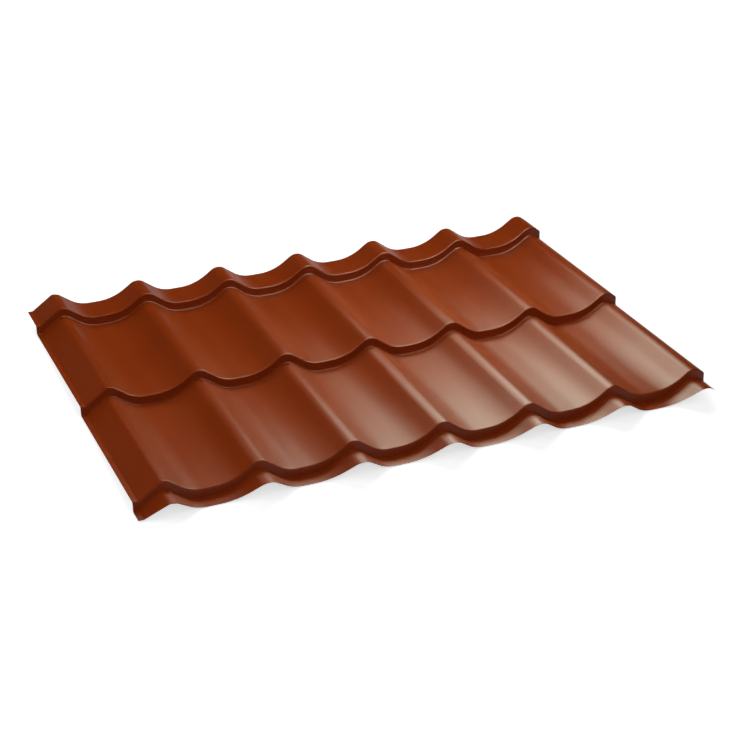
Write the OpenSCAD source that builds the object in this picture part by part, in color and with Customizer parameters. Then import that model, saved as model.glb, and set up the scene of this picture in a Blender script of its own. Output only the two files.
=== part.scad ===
// Metal roofing sheet with a tile pattern: a wave rolled along its length
// and a step pressed across it at every course.
//
// +X runs across the waves, from the underlap lip to the lapping flank.
// +Y runs up the roof slope, from the front (eaves) edge to the back edge.
// +Z points up, out of the roof. The sheet lies face up on a level floor.
// The origin is the bottom centre of its box.

/* [Sheet] */
// Thickness of the steel with its coating
gauge = 0.5; // [0.4:0.05:1]
// Width that one sheet covers on the roof
cover_w = 1100; // [850:10:1300]
// Waves across the covered width
waves = 6; // [4:1:7]
// Whole courses, each from one step to the next
courses = 2; // [1:1:4]

/* [Wave] */
// Height of a crest above the pan beside it
wave_h = 34; // [26:0.5:44]
// Slope of the flanks between crest and pan
flank_deg = 36.4; // [32:0.1:42]
// Radius over the crest, on the upper face
crest_r = 25; // [14:0.5:30]
// Radius from a falling flank into the pan, on the upper face
pan_fall_r = 66; // [30:1:100]
// Radius from the pan up to the next crest, on the upper face
pan_rise_r = 100; // [50:1:120]

/* [Side edges] */
// Bend radius of the first crest's two corners
edge_bend_r = 10; // [4:0.5:14]
// Fall of the first crest's flat top towards the first pan
edge_top_deg = 14; // [0:1:24]
// Height of the underlap lip above the pans
lip_h = 2.4; // [0:0.1:8]
// Flat width of the underlap lip
lip_w = 9; // [3:0.5:15]
// Radius where the free flank turns into the lip
lip_r = 4; // [3:0.5:10]
// Reach of the lapping flank past the last crest
lap_reach = 25; // [18:0.5:40]

/* [Steps] */
// Length of one course, from step to step
course_len = 350; // [250:5:450]
// Height that the pans drop at a step
step_h = 19; // [12:0.5:28]
// Lean of a step's riser, back from upright
riser_lean = 5; // [0:0.5:20]
// Bend radius along the top of a step
top_bend_r = 3; // [1:0.1:5]
// Bend radius along the foot of a step
foot_bend_r = 3; // [1:0.1:5]

/* [Ends] */
// Sheet behind the last step, measured in the pans
back_len = 74; // [40:1:200]
// Sheet in front of the first step, measured in the pans
front_len = 31; // [15:1:80]
// Lean of the front cut, which lets the crests reach further forward
front_cut_lean = 27; // [0:1:40]

/* [Hidden] */

// Widest turn that one flat facet covers over a step's bends
bend_facet_deg = 32;
// Facets that the upper and under faces may hold, and the finest turn of one across the wave
facet_budget = 13000;
finest_facet_deg = 6;
// Points across the line of one course, and across the two side edges
course_points = 7;
edge_points = 16;
// Straight length that is left between two bends
least_flat = 1;
// Overshoot of the front cut beyond the sheet
cut_over = 5;

pitch = cover_w / waves;
// A rounded corner of the crest at x: where the two slopes beside it would meet
function crest_corner(x, radius, left_deg, right_deg) =
    let (reach = radius / cos((left_deg + right_deg) / 2), aim = 90 + (left_deg - right_deg) / 2)
    [x + reach * cos(aim), wave_h - radius + reach * sin(aim)];
apex_z = crest_corner(0, crest_r, flank_deg, flank_deg)[1];
// Where a flank would meet the level of the pans, from the crest's middle
foot_reach = apex_z / tan(flank_deg);

// The first crest has a flat top between two tighter bends, and a free flank down to the lip
outer_corner = crest_corner(0, edge_bend_r, flank_deg, edge_top_deg);
inner_x = (apex_z - outer_corner[1] - outer_corner[0] * tan(edge_top_deg))
    / (tan(flank_deg) - tan(edge_top_deg));
inner_corner = [inner_x, (foot_reach - inner_x) * tan(flank_deg)];
lip_corner_x = outer_corner[0] - (outer_corner[1] - lip_h) / tan(flank_deg);
left_x = lip_corner_x - lip_r * tan(flank_deg / 2) - lip_w;
right_x = waves * pitch + lap_reach;
right_z = (foot_reach - lap_reach) * tan(flank_deg);

// The pan's two bends share the room between the flanks beside it
pan_room = pitch - 2 * foot_reach - least_flat;
flank_room = apex_z / sin(flank_deg) - crest_r * tan(flank_deg) - least_flat;
pan_fit = min(1, pan_room / ((pan_fall_r + pan_rise_r) * tan(flank_deg / 2)));
function pan_bend(radius) = min(radius * pan_fit, flank_room / tan(flank_deg / 2));

// Widest turn that one flat facet covers across the wave
wave_points = facet_budget / (4 * (course_points * (courses + 1) + 2)) - edge_points - 6 * waves;
wave_facet_deg = max(finest_facet_deg, 4 * flank_deg * waves / wave_points);

// Steps: the riser leans back by riser_run, and a course climbs forward by climb
riser_run = step_h * tan(riser_lean);
climb = step_h / (course_len - riser_run);
back_y = courses * course_len + riser_run + back_len;
// The front cut leans forward, so the crests end crest_gain in front of the pans
cut_slant = tan(front_cut_lean);
crest_gain = wave_h * cut_slant / (1 - climb * cut_slant);
front_reach = front_len + crest_gain + cut_over;
// The under face touches the floor where the foot bend meets the climbing course
course_deg = atan(climb);
foot_setback = foot_bend_r * tan((90 - riser_lean + course_deg) / 2);
under_z = climb * foot_setback - gauge * cos(course_deg);

// A corner is [point, radius, facet_deg]. The two ends of a line have radius 0.
wave_corners = [
    [[left_x, lip_h], 0, wave_facet_deg],
    [[lip_corner_x, lip_h], lip_r, 2 * wave_facet_deg],
    [outer_corner, edge_bend_r, wave_facet_deg],
    [inner_corner, edge_bend_r, wave_facet_deg],
    for (k = [0 : waves - 1]) each [
        [[k * pitch + foot_reach, 0], pan_bend(pan_fall_r), wave_facet_deg],
        [[(k + 1) * pitch - foot_reach, 0], pan_bend(pan_rise_r), wave_facet_deg],
        [[(k + 1) * pitch, apex_z], crest_r, wave_facet_deg],
    ],
    [[right_x, right_z], 0, wave_facet_deg],
];

// The course line, from the back edge forward: x is the distance in front of the back edge
step_corners = [
    [[0, step_h - climb * back_len], 0, bend_facet_deg],
    for (k = [courses : -1 : 0]) each [
        [[back_y - k * course_len - riser_run, step_h], top_bend_r, bend_facet_deg],
        [[back_y - k * course_len, 0], foot_bend_r, 1.5 * bend_facet_deg],
    ],
    [[back_y + front_reach, climb * front_reach], 0, bend_facet_deg],
];

function unit(v) = v / norm(v);
// Left-hand normal of a direction, which is the upper side of a line drawn from left to right
function upper(v) = [-v[1], v[0]];
function heading(v) = atan2(v[1], v[0]);

// Points [place, upper normal] round one corner, as an arc between its two tangent points
function rounded(before, corner, after, radius, facet_deg) =
    let (
        way_in = unit(corner - before),
        way_out = unit(after - corner),
        turn = heading(way_out) - heading(way_in),
        side = sign(turn),
        centre = corner - way_in * radius * abs(tan(turn / 2)) + side * radius * upper(way_in),
        steps = max(1, ceil(abs(turn) / facet_deg))
    )
    [for (i = [0 : steps])
        let (at = heading(way_in) + turn * i / steps, normal = [-sin(at), cos(at)])
        [centre - side * radius * normal, normal]];

// A line through corners, each rounded to its own radius, as a list of [place, upper normal]
function bent_line(corners) =
    let (last = len(corners) - 1)
    [
        [corners[0][0], upper(unit(corners[1][0] - corners[0][0]))],
        for (i = [1 : last - 1]) each
            rounded(corners[i - 1][0], corners[i][0], corners[i + 1][0], corners[i][1], corners[i][2]),
        [corners[last][0], upper(unit(corners[last][0] - corners[last - 1][0]))],
    ];

// Point of the sheet where the wave's entry w crosses the course line's entry s.
// depth 0 is the upper face and depth gauge is the under face.
function sheet_point(w, s, depth) = [
    w[0][0] - depth * w[1][0],
    back_y - s[0][0] + depth * s[1][0],
    w[0][1] + s[0][1] + depth * (1 - w[1][1] - s[1][1]),
];

// The wave carried along the course line: upper face, under face and the four cut edges
module pressed_skin(wave, line) {
    cols = len(wave);
    rows = len(line);
    count = cols * rows;
    points = [for (depth = [0, gauge]) for (s = line) for (w = wave) sheet_point(w, s, depth)];
    function quad(a, b, c, d, under) = under ? [for (v = [d, c, b, a]) v + count] : [a, b, c, d];
    function cell(r, c, under) = quad(
        r * cols + c, r * cols + c + 1, (r + 1) * cols + c + 1, (r + 1) * cols + c, under);
    faces = [
        for (under = [false, true]) for (r = [0 : rows - 2]) for (c = [0 : cols - 2]) cell(r, c, under),
        for (c = [0 : cols - 2]) [c, c + count, c + 1 + count, c + 1],
        for (c = [0 : cols - 2])
            let (a = (rows - 1) * cols + c) [a + 1, a + 1 + count, a + count, a],
        for (r = [0 : rows - 2])
            let (a = r * cols) [a + cols, a + cols + count, a + count, a],
        for (r = [0 : rows - 2])
            let (a = r * cols + cols - 1) [a, a + count, a + cols + count, a + cols],
    ];
    polyhedron(points, faces, convexity = 12);
}

// Wedge that the front cut takes off, leaning forward above the pans
module front_offcut() {
    tall = wave_h + 2 * step_h;
    function cut_y(z) = -front_len - (z - climb * front_len) * cut_slant;
    translate([left_x - cut_over, 0, 0])
        rotate([90, 0, 90])
            linear_extrude(right_x - left_x + 2 * cut_over)
                polygon([
                    [cut_y(-step_h), -step_h],
                    [cut_y(tall), tall],
                    [-front_reach - tall, tall],
                    [-front_reach - tall, -step_h],
                ]);
}

module roof_sheet() {
    color([0.54, 0.24, 0.13])
        translate([-(left_x + right_x) / 2, (front_len + crest_gain - back_y) / 2, -under_z])
            difference() {
                pressed_skin(bent_line(wave_corners), bent_line(step_corners));
                front_offcut();
            }
}

roof_sheet();
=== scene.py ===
"""One metal roofing sheet with a tile pattern, lying face up on a pale studio floor.

The sheet is drawn as it is made: its wave is laid out once as legs and arcs, that
line is carried down the course line over every pressed step, and the skin then gets
its front cut, its gauge and its three finishes. Lengths are in metres and angles in
radians. +X runs across the waves, +Y up the roof slope and +Z out of the roof.
"""
import logging
from dataclasses import dataclass, field
from enum import Enum
from math import atan, atan2, ceil, cos, hypot, pi, radians, sin, tan
from typing import Any, Union

import bpy
from mathutils import Euler, Matrix, Vector


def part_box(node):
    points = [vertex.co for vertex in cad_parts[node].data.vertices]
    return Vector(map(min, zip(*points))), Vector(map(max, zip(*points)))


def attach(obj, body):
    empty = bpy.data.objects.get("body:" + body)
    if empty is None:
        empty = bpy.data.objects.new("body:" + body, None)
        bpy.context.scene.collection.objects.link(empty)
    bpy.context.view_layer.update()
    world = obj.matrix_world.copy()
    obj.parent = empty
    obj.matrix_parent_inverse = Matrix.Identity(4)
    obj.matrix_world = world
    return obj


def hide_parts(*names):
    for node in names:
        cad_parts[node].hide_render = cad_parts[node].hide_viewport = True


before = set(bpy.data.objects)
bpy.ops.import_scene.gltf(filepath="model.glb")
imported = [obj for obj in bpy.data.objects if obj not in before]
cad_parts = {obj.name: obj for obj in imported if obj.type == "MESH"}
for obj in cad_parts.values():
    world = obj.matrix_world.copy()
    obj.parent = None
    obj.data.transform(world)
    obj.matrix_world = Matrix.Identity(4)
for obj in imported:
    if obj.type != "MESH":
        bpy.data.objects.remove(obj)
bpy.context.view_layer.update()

log = logging.getLogger("roof_sheet")
CAD_NODE = "roof_sheet"
BODY = "root"

Colour = tuple[float, float, float]
Point = tuple[float, float, float]
WHITE: Colour = (1.0, 1.0, 1.0)


# ---------------------------------------------------------------- shader maths

class Socket:
    """An output socket that takes part in Python expressions."""

    def __init__(self, graph: "Graph", socket: bpy.types.NodeSocket | None) -> None:
        """Wrap a socket of a graph.

        Args:
            graph: The graph that new nodes go into.
            socket: The output socket to wrap, or None for a node that has no output.
        """
        self.graph = graph
        self.socket = socket

    def math(self, operation: str, *values: "Value") -> "Socket":
        """Add one Math node.

        Args:
            operation: The node's operation.
            values: Its inputs in order.

        Returns:
            The node's result.
        """
        inputs = dict(enumerate(values))
        return self.graph.add("ShaderNodeMath", {"operation": operation}, inputs)

    def __add__(self, other: "Value") -> "Socket":
        """Sum of the two values."""
        return self.math("ADD", self, other)

    def __radd__(self, other: "Value") -> "Socket":
        """Sum of the two values."""
        return self.math("ADD", other, self)

    def __sub__(self, other: "Value") -> "Socket":
        """This value less the other."""
        return self.math("SUBTRACT", self, other)

    def __rsub__(self, other: "Value") -> "Socket":
        """The other value less this one."""
        return self.math("SUBTRACT", other, self)

    def __mul__(self, other: "Value") -> "Socket":
        """Product of the two values."""
        return self.math("MULTIPLY", self, other)

    def __rmul__(self, other: "Value") -> "Socket":
        """Product of the two values."""
        return self.math("MULTIPLY", other, self)


Value = Union[float, Colour, Socket]


class Graph:
    """The node tree of one material or world, built through one method."""

    def __init__(self, tree: bpy.types.NodeTree) -> None:
        """Start from an empty tree.

        Args:
            tree: The node tree to fill.
        """
        tree.nodes.clear()
        self.tree = tree

    def add(self, kind: str, settings: dict[str, Any], inputs: dict[Any, Value],
            out: Any = 0) -> Socket:
        """Add one node.

        Args:
            kind: The node's type name.
            settings: Properties, set before its sockets are.
            inputs: Values or links by socket name, identifier or number.
            out: Name or number of the output that is handed back.

        Returns:
            The chosen output.
        """
        node = self.tree.nodes.new(kind)
        for name, value in settings.items():
            setattr(node, name, value)
        for key, value in inputs.items():
            socket = self._input(node, key)
            if isinstance(value, Socket):
                self.tree.links.new(value.socket, socket)
            elif socket.type == "RGBA" and isinstance(value, tuple):
                socket.default_value = (*value[:3], 1.0)
            else:
                socket.default_value = value
        return Socket(self, node.outputs[out] if len(node.outputs) else None)

    @staticmethod
    def _input(node: bpy.types.Node, key: Any) -> bpy.types.NodeSocket:
        """Find an input of a node.

        Args:
            node: The node.
            key: The input's number, identifier or name.

        Returns:
            The input socket.
        """
        if isinstance(key, int):
            return node.inputs[key]
        by_identifier = {socket.identifier: socket for socket in node.inputs}
        return by_identifier[key] if key in by_identifier else node.inputs[key]

    def place(self) -> Socket:
        """Object coordinates, in metres from the sheet's origin."""
        return self.add("ShaderNodeTexCoord", {}, {}, "Object")

    def noise(self, place: Socket, size: float, detail: float = 2.0,
              roughness: float = 0.5) -> Socket:
        """Noise between 0 and 1.

        Args:
            place: Where it is read.
            size: Distance between its blotches.
            detail: How many finer layers it has.
            roughness: How strong the finer layers are.

        Returns:
            The noise value.
        """
        inputs = {"Vector": place, "Scale": 1.0 / size, "Detail": detail, "Roughness": roughness}
        return self.add("ShaderNodeTexNoise", {}, inputs, "Fac")

    def stretched(self, place: Socket, scale: Point) -> Socket:
        """Coordinates scaled along each axis.

        Args:
            place: The coordinates.
            scale: Factor along X, Y and Z.

        Returns:
            The scaled coordinates.
        """
        return self.add("ShaderNodeVectorMath", {"operation": "MULTIPLY"}, {0: place, 1: scale})

    def blend(self, first: Value, second: Value, share: Value) -> Socket:
        """Mix two colours.

        Args:
            first: Colour at share 0.
            second: Colour at share 1.
            share: How much of the second.

        Returns:
            The mixed colour.
        """
        inputs = {"Factor_Float": share, "A_Color": first, "B_Color": second}
        return self.add("ShaderNodeMix", {"data_type": "RGBA"}, inputs, 2)

    def between(self, value: Socket, low: float, high: float) -> Socket:
        """Stretch a value, cut off at both ends.

        Args:
            value: The value.
            low: What becomes 0.
            high: What becomes 1. It may lie below low.

        Returns:
            The value between 0 and 1.
        """
        inputs = {"Value": value, "From Min": low, "From Max": high}
        return self.add("ShaderNodeMapRange", {"clamp": True}, inputs)

    def bump(self, height: Socket, depth: float, under: Socket | None = None) -> Socket:
        """Turn a height between 0 and 1 into a normal.

        Args:
            height: The height value.
            depth: What a height of 1 stands for.
            under: Another bump that this one lies on.

        Returns:
            The bumped normal.
        """
        inputs: dict[Any, Value] = {"Strength": 1.0, "Distance": depth, "Height": height}
        if under is not None:
            inputs["Normal"] = under
        return self.add("ShaderNodeBump", {}, inputs)

    def sum_of(self, first: Socket, second: Socket) -> Socket:
        """Two shaders added together."""
        return self.add("ShaderNodeAddShader", {}, {0: first, 1: second})


# -------------------------------------------------------------------- finishes

def new_material(name: str) -> tuple[bpy.types.Material, Graph]:
    """Make an empty node material.

    Args:
        name: The material's name.

    Returns:
        The material and the graph of its nodes.
    """
    material = bpy.data.materials.new(name)
    material.use_nodes = True
    return material, Graph(material.node_tree)


def darker(colour: Colour, share: float) -> Colour:
    """Scale a colour down to a share of its light."""
    red, green, blue = colour
    return (share * red, share * green, share * blue)


@dataclass(frozen=True)
class TopCoat:
    """Semi-matt brick-brown coating on the weather side, with a fine even grain.

    Slow clouds and long rolling streaks shade it a little, flecks of a few millimetres vary
    its colour, gloss and level, and a finer grain breaks its gloss.
    """

    colour: Colour = (0.248, 0.0318, 0.0036)
    deep: Colour = (0.229, 0.0283, 0.0030)
    pale: Colour = (0.277, 0.0400, 0.0048)
    roughness: float = 0.40
    shade_roughness: float = 0.05
    fleck_roughness: float = 0.25
    cloud: float = 0.16
    cloud_share: float = 0.55
    streak: float = 0.012
    streak_stretch: Point = (1.0, 0.04, 1.0)
    grain: float = 0.0011
    grain_depth: float = 0.00004
    fleck: float = 0.0036
    fleck_depth: float = 0.00010

    def material(self) -> bpy.types.Material:
        """Build the node material.

        Returns:
            The material.
        """
        coat, graph = new_material("top_coat")
        place = graph.place()
        clouds = graph.noise(place, self.cloud, 3.0)
        streaks = graph.noise(graph.stretched(place, self.streak_stretch), self.streak, 3.0)
        grain = graph.noise(place, self.grain, 3.0, 0.65)
        flecks = graph.noise(place, self.fleck, 1.0)
        mixed = self.cloud_share * clouds + (1.0 - self.cloud_share) * streaks
        shade = graph.between(mixed, 0.32, 0.68)
        base = graph.blend(self.deep, self.colour, graph.between(shade, 0.0, 0.5))
        base = graph.blend(base, self.pale, graph.between(flecks, 0.5, 0.7))
        base = graph.blend(base, self.deep, graph.between(flecks, 0.5, 0.3))
        rough = self.roughness + self.shade_roughness * (shade - 0.5)
        rough = rough + self.fleck_roughness * (flecks - 0.5)
        normal = graph.bump(grain, self.grain_depth, graph.bump(flecks, self.fleck_depth))
        shader = graph.add("ShaderNodeBsdfPrincipled", {}, {
            "Base Color": base, "Roughness": rough, "Normal": normal})
        graph.add("ShaderNodeOutputMaterial", {}, {"Surface": shader})
        return coat


@dataclass(frozen=True)
class BackCoat:
    """Thin grey protective coat on the side that faces the roof, with rolling streaks."""

    colour: Colour = (0.40, 0.40, 0.37)
    shaded: float = 0.8
    roughness: float = 0.5
    streak_roughness: float = 0.12
    streak: float = 0.009
    streak_share: float = 0.7
    streak_stretch: Point = (1.0, 0.03, 1.0)
    speck: float = 0.0015
    speck_depth: float = 0.00002

    def material(self) -> bpy.types.Material:
        """Build the node material.

        Returns:
            The material.
        """
        coat, graph = new_material("back_coat")
        place = graph.place()
        streaks = graph.noise(graph.stretched(place, self.streak_stretch), self.streak, 4.0)
        specks = graph.noise(place, self.speck, 2.0)
        mixed = self.streak_share * streaks + (1.0 - self.streak_share) * specks
        shade = graph.between(mixed, 0.35, 0.65)
        shader = graph.add("ShaderNodeBsdfPrincipled", {}, {
            "Base Color": graph.blend(darker(self.colour, self.shaded), self.colour, shade),
            "Roughness": self.roughness + self.streak_roughness * (streaks - 0.5),
            "Normal": graph.bump(specks, self.speck_depth)})
        graph.add("ShaderNodeOutputMaterial", {}, {"Surface": shader})
        return coat


@dataclass(frozen=True)
class CutEdge:
    """Sheared edge of bare steel, with a fine burr."""

    steel: Colour = (0.16, 0.12, 0.10)
    shaded: float = 0.55
    metal: float = 0.6
    roughness: float = 0.45
    burr_roughness: float = 0.3
    burr: float = 0.0008
    burr_depth: float = 0.00003

    def material(self) -> bpy.types.Material:
        """Build the node material.

        Returns:
            The material.
        """
        edge, graph = new_material("cut_edge")
        burrs = graph.noise(graph.place(), self.burr, 3.0, 0.7)
        shader = graph.add("ShaderNodeBsdfPrincipled", {}, {
            "Base Color": graph.blend(darker(self.steel, self.shaded), self.steel, burrs),
            "Metallic": self.metal,
            "Roughness": self.roughness + self.burr_roughness * (burrs - 0.5),
            "Normal": graph.bump(burrs, self.burr_depth)})
        graph.add("ShaderNodeOutputMaterial", {}, {"Surface": shader})
        return edge


class Side(Enum):
    """The sheet's three kinds of surface, in the order of its material slots."""

    TOP = 0
    BACK = 1
    CUT = 2


# ------------------------------------------------------------------- the sheet

@dataclass(frozen=True)
class Corner:
    """A corner of a line in the XZ plane, and the radius of the bend that rounds it."""

    x: float
    z: float
    radius: float = 0.0

    def heading(self, onward: "Corner") -> float:
        """Angle above level of the way to the next corner."""
        return atan2(onward.z - self.z, onward.x - self.x)

    def distance(self, onward: "Corner") -> float:
        """Length of the way to the next corner."""
        return hypot(onward.z - self.z, onward.x - self.x)


class Pen:
    """Draws a line of edges in the XZ plane in edit mode, leg by leg."""

    SEED_SIZE = 0.01

    def __init__(self, start: Corner, facet: float, spacing: float) -> None:
        """Start a new mesh with one vertex.

        Args:
            start: Where the line starts.
            facet: Widest angle of one edge in an arc.
            spacing: Longest edge in a straight leg.
        """
        bpy.ops.object.select_all(action="DESELECT")
        bpy.ops.mesh.primitive_plane_add(size=self.SEED_SIZE, location=(start.x, 0.0, start.z))
        bpy.ops.object.transform_apply(location=True, rotation=False, scale=False)
        bpy.ops.object.mode_set(mode="EDIT")
        bpy.ops.mesh.select_all(action="SELECT")
        bpy.ops.mesh.merge(type="CENTER")
        self.x = start.x
        self.z = start.z
        self.facet = facet
        self.spacing = spacing
        self.heading = 0.0

    def leg(self, length: float) -> None:
        """Extrude the end vertex straight ahead.

        Args:
            length: How far.
        """
        parts = ceil(length / self.spacing)
        step = (length * cos(self.heading) / parts, 0.0, length * sin(self.heading) / parts)
        for _ in range(parts):
            bpy.ops.mesh.extrude_vertices_move(TRANSFORM_OT_translate={"value": step})
        self.x += step[0] * parts
        self.z += step[2] * parts

    def arc(self, turn: float, radius: float) -> None:
        """Spin the end vertex round an arc that starts straight ahead.

        Args:
            turn: Angle of the arc, above 0 to the left and below 0 to the right.
            radius: Its radius.
        """
        side = 1.0 if turn > 0 else -1.0
        centre_x = self.x - side * radius * sin(self.heading)
        centre_z = self.z + side * radius * cos(self.heading)
        bpy.ops.mesh.spin(
            steps=ceil(abs(turn) / self.facet), angle=turn,
            center=(centre_x, 0.0, centre_z), axis=(0.0, 1.0, 0.0))
        self.heading += turn
        self.x = centre_x + side * radius * sin(self.heading)
        self.z = centre_z - side * radius * cos(self.heading)

    def follow(self, corners: list[Corner]) -> None:
        """Draw the legs between the corners and round each corner but the first and last.

        Args:
            corners: The corners in order, the pen standing on the first.
        """
        setback = 0.0
        self.heading = corners[0].heading(corners[1])
        for before, corner, after in zip(corners, corners[1:], corners[2:]):
            turn = corner.heading(after) - before.heading(corner)
            bend = corner.radius * tan(abs(turn) / 2.0)
            self.leg(before.distance(corner) - setback - bend)
            self.arc(turn, corner.radius)
            setback = bend
        self.leg(corners[-2].distance(corners[-1]) - setback)


@dataclass
class Wave:
    """The sheet's section across the roof slope.

    x is measured from the first crest's middle and z from the pans.
    """

    cover: float = 1.100
    count: int = 6
    height: float = 0.034
    flank: float = radians(36.4)
    crest_radius: float = 0.025
    pan_fall_radius: float = 0.066
    pan_rise_radius: float = 0.100
    edge_radius: float = 0.010
    edge_top: float = radians(14.0)
    lip_height: float = 0.0024
    lip_width: float = 0.009
    lip_radius: float = 0.004
    lap_reach: float = 0.025
    facet: float = radians(4.0)
    spacing: float = 0.012

    @property
    def pitch(self) -> float:
        """Distance from crest to crest."""
        return self.cover / self.count

    @property
    def apex(self) -> float:
        """Height at which a crest's two flanks would meet."""
        return self.height - self.crest_radius + self.crest_radius / cos(self.flank)

    @property
    def foot_reach(self) -> float:
        """Distance from a crest's middle to where its flank would meet the pan's level."""
        return self.apex / tan(self.flank)

    def edge_crest(self) -> list[Corner]:
        """The first crest, whose flat top falls a little towards the first pan.

        Returns:
            Its two corners.
        """
        reach = self.edge_radius / cos((self.flank + self.edge_top) / 2.0)
        aim = pi / 2.0 + (self.flank - self.edge_top) / 2.0
        outer_z = self.height - self.edge_radius + reach * sin(aim)
        outer = Corner(reach * cos(aim), outer_z, self.edge_radius)
        fall = tan(self.edge_top)
        x = (self.apex - outer.z - outer.x * fall) / (tan(self.flank) - fall)
        return [outer, Corner(x, (self.foot_reach - x) * tan(self.flank), self.edge_radius)]

    def corners(self) -> list[Corner]:
        """The whole section.

        Returns:
            Every corner from the lip's edge to the lapping flank's edge.
        """
        crest = self.edge_crest()
        lip_x = crest[0].x - (crest[0].z - self.lip_height) / tan(self.flank)
        edge_x = lip_x - self.lip_radius * tan(self.flank / 2.0) - self.lip_width
        lip = [Corner(edge_x, self.lip_height), Corner(lip_x, self.lip_height, self.lip_radius)]
        corners = [*lip, *crest]
        for number in range(self.count):
            here = number * self.pitch
            onward = here + self.pitch
            corners += [
                Corner(here + self.foot_reach, 0.0, self.pan_fall_radius),
                Corner(onward - self.foot_reach, 0.0, self.pan_rise_radius),
                Corner(onward, self.apex, self.crest_radius)]
        end_z = (self.foot_reach - self.lap_reach) * tan(self.flank)
        return [*corners, Corner(self.cover + self.lap_reach, end_z)]

    def draw(self, x: float, z: float) -> None:
        """Draw the section from the lip to the lapping flank.

        Args:
            x: Where the lip's edge goes.
            z: The level of the pans.
        """
        corners = self.corners()
        shift = x - corners[0].x
        placed = [Corner(corner.x + shift, corner.z + z, corner.radius) for corner in corners]
        Pen(placed[0], self.facet, self.spacing).follow(placed)


@dataclass
class CourseLine:
    """The line that the wave is carried along, from the back edge over every step to the front."""

    courses: int = 2
    length: float = 0.350
    step: float = 0.019
    riser_lean: float = radians(5.0)
    top_radius: float = 0.003
    foot_radius: float = 0.003
    back_length: float = 0.074
    front_length: float = 0.031
    facet: float = radians(15.0)
    spacing: float = 0.030
    end_row: float = 0.0015

    @property
    def climb(self) -> float:
        """Height that a course gains for each unit forward."""
        return self.step / (self.length - self.step * tan(self.riser_lean))

    @property
    def slope(self) -> float:
        """Angle at which a course climbs forward."""
        return atan(self.climb)

    @property
    def turn(self) -> float:
        """Angle of the bend at the top or foot of a step."""
        return pi / 2.0 - self.riser_lean + self.slope

    @property
    def top_setback(self) -> float:
        """Distance from the corner of a step's top to where its bend starts."""
        return self.top_radius * tan(self.turn / 2.0)

    @property
    def foot_setback(self) -> float:
        """Distance from the corner of a step's foot to where its bend ends."""
        return self.foot_radius * tan(self.turn / 2.0)

    @property
    def back(self) -> float:
        """The back edge, measured from the foot of the first step."""
        return self.courses * self.length + self.step * tan(self.riser_lean) + self.back_length

    def straight(self, length: float, heading: float) -> list[Point]:
        """Moves along a straight stretch, closer together next to the bends.

        Args:
            length: Length of the stretch.
            heading: Its angle above level, going forward.

        Returns:
            One move for each row of faces.
        """
        near = min(self.end_row, length / 4.0)
        inner = length - 2.0 * near
        rows = max(1, ceil(inner / self.spacing))
        lengths = [near] + [inner / rows] * rows + [near]
        return [(0.0, -part * cos(heading), part * sin(heading)) for part in lengths]

    def bend(self, start: float, turn: float, radius: float) -> list[Point]:
        """Moves round a bend, each a chord of its arc.

        Args:
            start: Heading at the start of the bend.
            turn: Angle of the bend.
            radius: Its radius.

        Returns:
            One move for each row of faces.
        """
        steps = ceil(abs(turn) / self.facet)
        chord = 2.0 * radius * sin(abs(turn) / steps / 2.0)
        headings = [start + turn * (i + 0.5) / steps for i in range(steps)]
        return [(0.0, -chord * cos(heading), chord * sin(heading)) for heading in headings]

    def moves(self, overrun: float) -> list[Point]:
        """Every move from the back edge to beyond the front cut.

        Args:
            overrun: How far the line goes on past the pans' front edge.

        Returns:
            One move for each row of faces.
        """
        riser = self.step / cos(self.riser_lean) - self.top_setback - self.foot_setback
        course = (self.length - self.step * tan(self.riser_lean)) / cos(self.slope)
        stretches = [self.back_length / cos(self.slope) - self.top_setback]
        stretches += [course - self.top_setback - self.foot_setback] * self.courses
        stretches += [(self.front_length + overrun) / cos(self.slope) - self.foot_setback]
        moves = self.straight(stretches[0], self.slope)
        for stretch in stretches[1:]:
            moves += self.bend(self.slope, -self.turn, self.top_radius)
            moves += self.straight(riser, self.slope - self.turn)
            moves += self.bend(self.slope - self.turn, self.turn, self.foot_radius)
            moves += self.straight(stretch, self.slope)
        return moves


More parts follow.
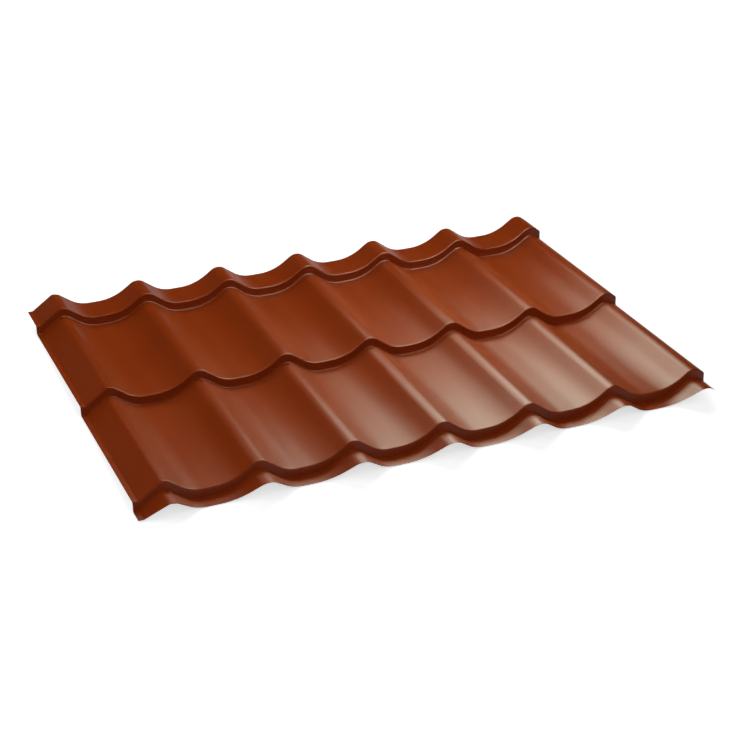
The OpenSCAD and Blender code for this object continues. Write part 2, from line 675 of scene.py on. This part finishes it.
@dataclass
class RoofSheet:
    """The whole sheet: one skin of steel with its coatings and cut edges."""

    gauge: float = 0.0005
    front_cut_lean: float = radians(27.0)
    cut_overrun: float = 0.005
    sharp_angle: float = radians(40.0)
    wave: Wave = field(default_factory=Wave)
    line: CourseLine = field(default_factory=CourseLine)
    top: TopCoat = field(default_factory=TopCoat)
    back: BackCoat = field(default_factory=BackCoat)
    cut: CutEdge = field(default_factory=CutEdge)

    @property
    def crest_gain(self) -> float:
        """How much further forward the slanted cut leaves the crests than the pans."""
        slant = tan(self.front_cut_lean)
        return self.wave.height * slant / (1.0 - self.line.climb * slant)

    @property
    def pan_level(self) -> float:
        """Height of the pans' upper face at the foot of a step, over the floor."""
        return self.gauge * cos(self.line.slope) - self.line.climb * self.line.foot_setback

    def build(self) -> bpy.types.Object:
        """Model the sheet and dress it.

        Returns:
            The finished piece.
        """
        low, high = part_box(CAD_NODE)
        back_y = high.y
        first_foot_y = back_y - self.line.back
        back_z = self.pan_level + self.line.step - self.line.climb * self.line.back_length
        self.wave.draw(low.x, back_z)
        bpy.ops.mesh.select_all(action="SELECT")
        bpy.ops.transform.translate(value=(0.0, back_y, 0.0))
        for move in self.line.moves(self.crest_gain + self.cut_overrun):
            bpy.ops.mesh.extrude_region_move(TRANSFORM_OT_translate={"value": move})
        self._cut_front(first_foot_y)
        bpy.ops.object.mode_set(mode="OBJECT")
        sheet = bpy.context.object
        sheet.name = "roof_sheet_steel"
        sheet.data.name = sheet.name
        self._face_up(sheet)
        self._thicken(sheet)
        self._dress(sheet)
        return sheet

    def _cut_front(self, first_foot_y: float) -> None:
        """Cut the front edge on its slant, in edit mode.

        Args:
            first_foot_y: Where the foot of the first step lies.
        """
        lean = self.front_cut_lean
        line = self.line
        cut_y = first_foot_y - line.front_length + self.gauge * sin(line.slope)
        cut_z = self.pan_level + line.climb * line.front_length
        bpy.ops.mesh.select_all(action="SELECT")
        bpy.ops.mesh.bisect(
            plane_co=(0.0, cut_y, cut_z),
            plane_no=(0.0, -cos(lean), -sin(lean)), clear_outer=True)

    @staticmethod
    def _face_up(sheet: bpy.types.Object) -> None:
        """Turn the open skin's faces up.

        Args:
            sheet: The skin.
        """
        if sum(face.normal.z * face.area for face in sheet.data.polygons) < 0:
            bpy.ops.object.mode_set(mode="EDIT")
            bpy.ops.mesh.select_all(action="SELECT")
            bpy.ops.mesh.flip_normals()
            bpy.ops.object.mode_set(mode="OBJECT")

    def _thicken(self, sheet: bpy.types.Object) -> None:
        """Give the skin its finishes, and its gauge downwards with cut edges as their own faces.

        Args:
            sheet: The skin.
        """
        for finish in (self.top, self.back, self.cut):
            sheet.data.materials.append(finish.material())
        wall = sheet.modifiers.new("gauge", "SOLIDIFY")
        wall.thickness = self.gauge
        wall.offset = -1.0
        wall.use_even_offset = True
        wall.material_offset = Side.BACK.value
        wall.material_offset_rim = Side.CUT.value
        bpy.ops.object.modifier_apply(modifier=wall.name)

    def _dress(self, sheet: bpy.types.Object) -> None:
        """Smooth the bends, keep the cut edges sharp, hang the piece on its body and hide the CAD
        node.

        Args:
            sheet: The finished solid.
        """
        bpy.ops.object.shade_smooth_by_angle(angle=self.sharp_angle)
        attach(sheet, BODY)
        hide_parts(CAD_NODE)


# ------------------------------------------------------------------ the studio

SHEEN: Colour = (0.70, 0.97, 0.81)
WARM_SHEEN: Colour = (0.95, 0.82, 0.52)


class Light(Enum):
    """What a light gives a surface: its body colour or its gloss."""

    BODY = "body"
    GLOSS = "gloss"


@dataclass(frozen=True)
class SheenGlow:
    """Clear glowing sheet of a gloss panel. Only rays that gloss mirrors find its light."""

    colour: Colour
    radiance: float

    def material(self) -> bpy.types.Material:
        """Build the node material.

        Returns:
            The material.
        """
        sheet, graph = new_material("sheen_glow")
        sheet.cycles.emission_sampling = "NONE"
        inputs = {"Color": self.colour, "Strength": self.radiance}
        glow = graph.add("ShaderNodeEmission", {}, inputs)
        clear = graph.add("ShaderNodeBsdfTransparent", {}, {"Color": WHITE})
        graph.add("ShaderNodeOutputMaterial", {}, {"Surface": graph.sum_of(glow, clear)})
        return sheet


@dataclass(frozen=True)
class FloorPaint:
    """Pale matt paint that the camera sees lifted to white, wholly so far from the sheet."""

    colour: Colour = (0.72, 0.72, 0.72)
    lift: float = 0.66
    fade_start: float = 0.9
    fade_end: float = 2.6

    def material(self) -> bpy.types.Material:
        """Build the node material.

        Returns:
            The material.
        """
        floor, graph = new_material("floor_paint")
        paint = graph.add("ShaderNodeBsdfDiffuse", {}, {"Color": self.colour})
        seen = graph.add("ShaderNodeLightPath", {}, {}, "Is Camera Ray")
        length = {"operation": "LENGTH"}
        reach = graph.add("ShaderNodeVectorMath", length, {0: graph.place()}, "Value")
        far = graph.between(reach, self.fade_start, self.fade_end)
        lift = self.lift + (1.0 - self.lift) * far
        glow = graph.add("ShaderNodeEmission", {}, {"Color": WHITE, "Strength": lift * seen})
        graph.add("ShaderNodeOutputMaterial", {}, {"Surface": graph.sum_of(paint, glow)})
        return floor


@dataclass(frozen=True)
class SoftLight:
    """A soft rectangular light that hangs at a place and faces another.

    A body light is an area lamp that gloss doesn't mirror, and a gloss light is a clear
    glowing panel that only gloss mirrors, so the sheen is set apart from the body colour.
    """

    name: str
    light: Light
    place: Point
    aim: Point
    width: float
    height: float
    radiance: float
    colour: Colour = WHITE

    def hang(self) -> None:
        """Make the light. The camera doesn't see its face."""
        if self.light is Light.BODY:
            self._hang_lamp()
        else:
            self._hang_panel()

    def _turn(self) -> Euler:
        """Turn that faces the light at its aim.

        Returns:
            The rotation as Euler angles.
        """
        away = Vector(self.place) - Vector(self.aim)
        return away.to_track_quat("Z", "Y").to_euler()

    def _hang_lamp(self) -> None:
        """Make an area lamp for the body colour."""
        data = bpy.data.lights.new(self.name, "AREA")
        data.shape = "RECTANGLE"
        data.size = self.width
        data.size_y = self.height
        data.energy = self.radiance * pi * self.width * self.height
        data.color = self.colour
        data.cycles.use_multiple_importance_sampling = False
        lamp = bpy.data.objects.new(self.name, data)
        bpy.context.scene.collection.objects.link(lamp)
        lamp.location = self.place
        lamp.rotation_euler = self._turn()
        lamp.visible_camera = False
        lamp.visible_glossy = False

    def _hang_panel(self) -> None:
        """Make a clear glowing panel for the sheen."""
        bpy.ops.object.select_all(action="DESELECT")
        bpy.ops.mesh.primitive_plane_add(size=1.0, location=self.place, rotation=self._turn())
        panel = bpy.context.object
        panel.name = self.name
        panel.scale = (self.width, self.height, 1.0)
        panel.data.materials.append(SheenGlow(self.colour, self.radiance).material())
        panel.visible_camera = False
        panel.visible_diffuse = False
        panel.visible_transmission = False
        panel.visible_shadow = False


def direction(azimuth: float, elevation: float) -> Vector:
    """Unit vector from the sheet towards a place round it.

    Args:
        azimuth: 0 is in front of the sheet and a quarter turn is at its right.
        elevation: Angle above the floor.

    Returns:
        The unit vector.
    """
    flat = cos(elevation)
    return Vector((flat * sin(azimuth), -flat * cos(azimuth), sin(elevation)))


@dataclass
class Studio:
    """Floor, world, lights and camera."""

    camera_azimuth: float = radians(-23.957)
    camera_elevation: float = radians(30.087)
    camera_roll: float = radians(1.393)
    camera_distance: float = 3.5191
    aim: Point = (-0.0153, -0.1085, 0.025)
    lens: float = 84.717
    sensor: float = 36.0
    sight: float = 60.0
    floor_size: float = 30.0
    floor_paint: FloorPaint = field(default_factory=FloorPaint)
    dimness: float = 0.04
    lights: tuple[SoftLight, ...] = (
        SoftLight("back_lamp", Light.BODY, (1.0, 2.6, 2.2), (0.0, 0.0, 0.0), 3.0, 2.0, 4.35),
        SoftLight("front_lamp", Light.BODY, (0.0, -3.0, 2.5), (0.0, -3.0, 0.0), 3.0, 3.0, 1.6),
        SoftLight("left_lamp", Light.BODY, (-3.0, 0.0, 2.5), (-3.0, 0.0, 0.0), 3.0, 3.0, 1.9),
        SoftLight("right_panel", Light.GLOSS,
                  (0.465, 0.240, 0.424), (0.254, 0.118, 0.0), 0.445, 0.434, 4.05, SHEEN),
        SoftLight("middle_panel", Light.GLOSS,
                  (0.232, 0.134, 0.477), (0.179, 0.065, 0.0), 0.7, 0.616, 4.0, SHEEN),
        SoftLight("back_panel", Light.GLOSS,
                  (0.0, 0.3, 0.8), (0.0, 0.3, 0.0), 1.4, 0.3, 4.1, SHEEN),
        SoftLight("top_panel", Light.GLOSS,
                  (0.166, 0.0, 0.78), (-0.10, 0.0, 0.0), 0.5, 0.5, 2.7, WARM_SHEEN),
    )

    def build(self) -> None:
        """Make the floor, world, lights and camera."""
        self._floor()
        self._world()
        for light in self.lights:
            light.hang()
        self._camera()
        bpy.context.scene.view_settings.view_transform = "Standard"

    def _floor(self) -> None:
        """Lay a wide pale floor under the sheet."""
        bpy.ops.object.select_all(action="DESELECT")
        bpy.ops.mesh.primitive_plane_add(size=self.floor_size, location=(0.0, 0.0, 0.0))
        floor = bpy.context.object
        floor.name = "floor"
        floor.data.materials.append(self.floor_paint.material())

    def _world(self) -> None:
        """Make the world white to the camera and a dim even light to all but gloss."""
        world = bpy.data.worlds.new("studio")
        bpy.context.scene.world = world
        world.use_nodes = True
        graph = Graph(world.node_tree)
        seen = graph.add("ShaderNodeLightPath", {}, {}, "Is Camera Ray")
        strength = self.dimness + (1.0 - self.dimness) * seen
        light = graph.add("ShaderNodeBackground", {}, {"Color": WHITE, "Strength": strength})
        graph.add("ShaderNodeOutputWorld", {}, {"Surface": light})
        world.cycles_visibility.glossy = False

    def _camera(self) -> None:
        """Set the camera at its angle, aimed at the sheet."""
        data = bpy.data.cameras.new("camera")
        data.lens = self.lens
        data.sensor_width = self.sensor
        data.clip_end = self.sight
        camera = bpy.data.objects.new("camera", data)
        bpy.context.scene.collection.objects.link(camera)
        back = direction(self.camera_azimuth, self.camera_elevation)
        camera.location = Vector(self.aim) + back * self.camera_distance
        turn = back.to_track_quat("Z", "Y").to_matrix().to_4x4()
        roll = Matrix.Rotation(self.camera_roll, 4, "Z")
        camera.rotation_euler = (turn @ roll).to_euler()
        bpy.context.scene.camera = camera


# ------------------------------------------------------------------------ main

def report(sheet: bpy.types.Object) -> None:
    """Log a finished piece: its size and how many faces it has.

    Args:
        sheet: The piece.
    """
    size = ", ".join(f"{1000.0 * side:.1f}" for side in sheet.dimensions)
    log.info("%s: %s mm, %d faces", sheet.name, size, len(sheet.data.polygons))


def main() -> None:
    """Build the studio and the sheet."""
    logging.basicConfig(level=logging.INFO, format="%(message)s")
    Studio().build()
    sheet = RoofSheet().build()
    report(sheet)


if __name__ == "__main__":
    main()
